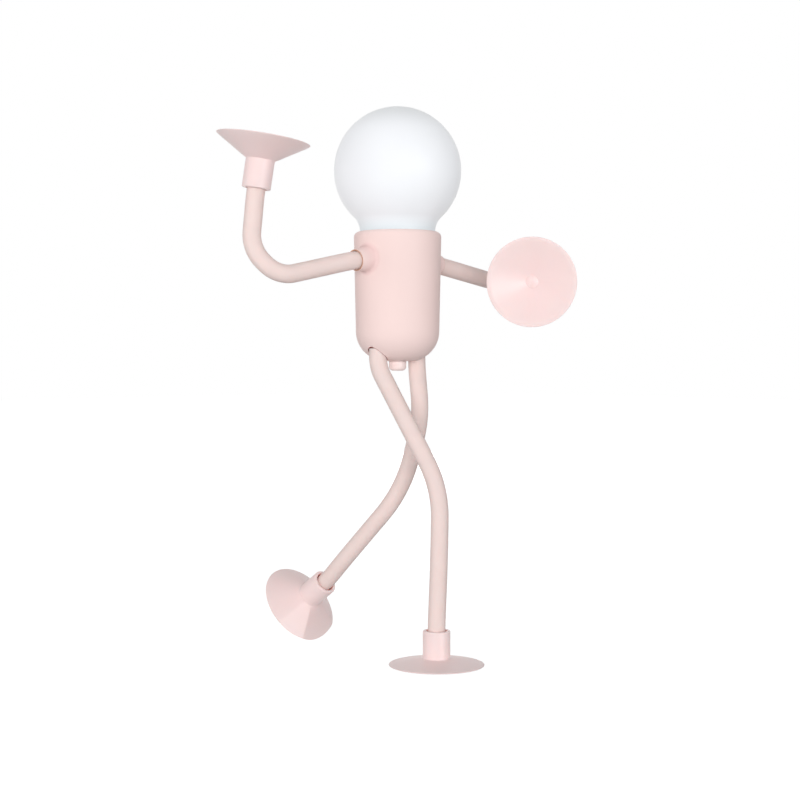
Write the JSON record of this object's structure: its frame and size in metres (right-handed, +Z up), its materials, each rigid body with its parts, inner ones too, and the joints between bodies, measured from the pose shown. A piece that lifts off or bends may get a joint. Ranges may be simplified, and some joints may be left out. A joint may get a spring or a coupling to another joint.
{
  "type": "night light",
  "caption": "Figure-shaped night light with a frosted globe head, a rounded body with a push button, and bendable wire limbs that end in suction cups.",
  "frame": {"origin": "middle of the standing cup's face on the floor", "axes": "+Z up, X along the shoulders with the standing leg's shoulder on the -X side, charging port facing +Y"},
  "size_m": [0.168, 0.1579, 0.2623],
  "materials": {
    "shell": "fine matt moulding, pale pink",
    "button": "satin moulding, pale pink",
    "sleeve": "soft matt silicone, pale pink",
    "cup": "soft satin silicone, pale pink",
    "globe": "frosted white, translucent",
    "white_moulding": "plain white moulding",
    "light_board": "white solder mask",
    "lights": "clear yellow phosphor",
    "steel": "zinc plated",
    "socket_steel": "stamped shell",
    "wire": "soft drawn wire",
    "cell": "foil pouch",
    "circuit_board": "green solder mask",
    "chips": "black moulding",
    "switch": "black moulding",
    "leads": "insulated"
  },
  "bodies": {
    "torso": {"torso_shell": "shell", "bulb_globe": "globe", "led_carrier": "white_moulding", "led_board": "light_board", "led_packages": "lights", "carrier_screws": "steel", "battery_holder": "white_moulding", "battery_cell": "cell", "control_board": "circuit_board", "board_screws": "steel", "board_components": "chips", "usb_socket": "socket_steel", "tact_switch": "switch", "wire_retainers": "steel", "battery_leads": "leads", "led_leads": "leads", "left_arm_root_sleeve": "sleeve", "right_arm_root_sleeve": "sleeve", "left_leg_root_sleeve": "sleeve", "right_leg_root_sleeve": "sleeve", "left_arm_root_wire": "wire", "right_arm_root_wire": "wire", "left_leg_root_wire": "wire", "right_leg_root_wire": "wire"},
    "left_arm_first": {"left_arm_first_sleeve": "sleeve", "left_arm_first_wire": "wire"},
    "left_arm_second": {"left_arm_second_sleeve": "sleeve", "left_arm_second_wire": "wire"},
    "left_arm_third": {"left_arm_third_sleeve": "sleeve", "left_arm_third_wire": "wire"},
    "left_arm_tip": {"left_arm_tip_sleeve": "sleeve", "left_arm_cup": "cup"},
    "right_arm_first": {"right_arm_first_sleeve": "sleeve", "right_arm_first_wire": "wire"},
    "right_arm_second": {"right_arm_second_sleeve": "sleeve", "right_arm_second_wire": "wire"},
    "right_arm_third": {"right_arm_third_sleeve": "sleeve", "right_arm_third_wire": "wire"},
    "right_arm_tip": {"right_arm_tip_sleeve": "sleeve", "right_arm_cup": "cup"},
    "left_leg_first": {"left_leg_first_sleeve": "sleeve", "left_leg_first_wire": "wire"},
    "left_leg_second": {"left_leg_second_sleeve": "sleeve", "left_leg_second_wire": "wire"},
    "left_leg_third": {"left_leg_third_sleeve": "sleeve", "left_leg_third_wire": "wire"},
    "left_leg_tip": {"left_leg_tip_sleeve": "sleeve", "left_leg_cup": "cup"},
    "right_leg_first": {"right_leg_first_sleeve": "sleeve", "right_leg_first_wire": "wire"},
    "right_leg_second": {"right_leg_second_sleeve": "sleeve", "right_leg_second_wire": "wire"},
    "right_leg_third": {"right_leg_third_sleeve": "sleeve", "right_leg_third_wire": "wire"},
    "right_leg_tip": {"right_leg_tip_sleeve": "sleeve", "right_leg_cup": "cup"},
    "button": {"push_button": "button", "switch_plunger": "switch"}
  },
  "joints": [
    {"name": "left_shoulder_lift", "type": "hinge", "parent": "torso", "child": "left_arm_first", "pos_m": [-0.03615, 0.0198, 0.18864], "axis": [0, 1, 0], "range_deg": [-45, 15]},
    {"name": "left_shoulder_swing", "type": "hinge", "parent": "left_arm_first", "child": "left_arm_second", "pos_m": [-0.04847, 0.0228, 0.18581], "axis": [0, 0, -1], "range_deg": [-40, 40]},
    {"name": "left_elbow_bend", "type": "hinge", "parent": "left_arm_second", "child": "left_arm_third", "pos_m": [-0.05965, 0.02553, 0.18323], "axis": [-0.2356, -0.9718, -0.0059], "range_deg": [-15, 45]},
    {"name": "left_wrist_tilt", "type": "hinge", "parent": "left_arm_third", "child": "left_arm_tip", "pos_m": [-0.07955, 0.036, 0.21676], "axis": [0.2436, 0.9669, 0.0764], "range_deg": [-40, 40]},
    {"name": "right_shoulder_lift", "type": "hinge", "parent": "torso", "child": "right_arm_first", "pos_m": [0.02399, 0.0198, 0.18864], "axis": [0, -1, 0], "range_deg": [-45, 35]},
    {"name": "right_shoulder_swing", "type": "hinge", "parent": "right_arm_first", "child": "right_arm_second", "pos_m": [0.0368, 0.01926, 0.18645], "axis": [0, 0, 1], "range_deg": [-15, 40]},
    {"name": "right_elbow_bend", "type": "hinge", "parent": "right_arm_second", "child": "right_arm_third", "pos_m": [0.04841, 0.01877, 0.18446], "axis": [0.1572, -0.1985, 0.9674], "range_deg": [-15, 45]},
    {"name": "right_wrist_tilt", "type": "hinge", "parent": "right_arm_third", "child": "right_arm_tip", "pos_m": [0.05073, -0.01507, 0.1807], "axis": [-0.1279, 0.2233, -0.9663], "range_deg": [-40, 40]},
    {"name": "left_hip_swing", "type": "hinge", "parent": "torso", "child": "left_leg_first", "pos_m": [-0.01908, 0.0198, 0.13982], "axis": [1, 0, 0], "range_deg": [-35, 20]},
    {"name": "left_hip_spread", "type": "hinge", "parent": "left_leg_first", "child": "left_leg_second", "pos_m": [-0.01495, 0.01552, 0.12826], "axis": [0, 1, 0], "range_deg": [-8, 40]},
    {"name": "left_knee_bend", "type": "hinge", "parent": "left_leg_second", "child": "left_leg_third", "pos_m": [-0.00724, 0.00754, 0.10668], "axis": [0.7191, 0.695, -0.0002], "range_deg": [-45, 45]},
    {"name": "left_ankle_tilt", "type": "hinge", "parent": "left_leg_third", "child": "left_leg_tip", "pos_m": [0, 0, 0.0189], "axis": [1, 0, 0], "range_deg": [-40, 40]},
    {"name": "right_hip_swing", "type": "hinge", "parent": "torso", "child": "right_leg_first", "pos_m": [0.00692, 0.0198, 0.13982], "axis": [1, 0, 0], "range_deg": [-20, 35]},
    {"name": "right_hip_spread", "type": "hinge", "parent": "right_leg_first", "child": "right_leg_second", "pos_m": [0.00955, 0.0208, 0.12713], "axis": [0, -1, 0], "range_deg": [-8, 40]},
    {"name": "right_knee_bend", "type": "hinge", "parent": "right_leg_second", "child": "right_leg_third", "pos_m": [0.01253, 0.02615, 0.10399], "axis": [0.7964, 0.5499, 0.2519], "range_deg": [-45, 45]},
    {"name": "right_ankle_tilt", "type": "hinge", "parent": "right_leg_third", "child": "right_leg_tip", "pos_m": [0.0022, 0.07764, 0.03213], "axis": [0.9975, 0.0562, -0.0418], "range_deg": [-40, 40]},
    {"name": "button_press", "type": "slide", "parent": "torso", "child": "button", "axis": [0, 0, 1], "range_m": [0, 0.001], "stiffness_N_per_m": 1500}
  ]
}
